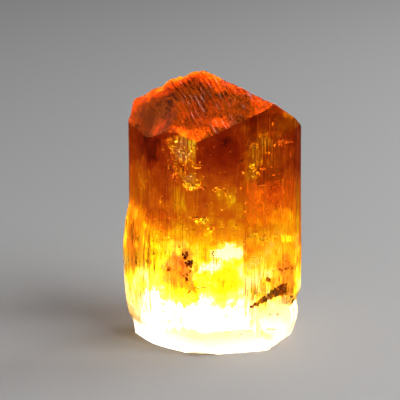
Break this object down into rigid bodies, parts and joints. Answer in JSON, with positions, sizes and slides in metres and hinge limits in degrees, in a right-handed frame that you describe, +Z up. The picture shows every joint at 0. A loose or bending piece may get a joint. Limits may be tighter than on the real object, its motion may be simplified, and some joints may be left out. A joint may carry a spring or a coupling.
{
  "type": "imperial topaz crystal",
  "caption": "Rough prismatic topaz crystal with striated rhombic sides, a slanting etched top and a flat cleavage base that it stands on; clear golden orange, for display or study.",
  "frame": {"origin": "middle of the crystal's box at the level of its flat cleavage base", "axes": "+Z up along the prism; +X across the prism's wide diagonal, to the right as the large etched top face is seen; -Y is the side that shows that face"},
  "size_m": [0.0178, 0.014, 0.0265],
  "materials": {
    "topaz": "clear golden orange, redder towards the top, vitreous on the striated sides and satin on the etched top"
  },
  "bodies": {
    "root": {"topaz_crystal": "topaz"}
  },
  "joints": []
}
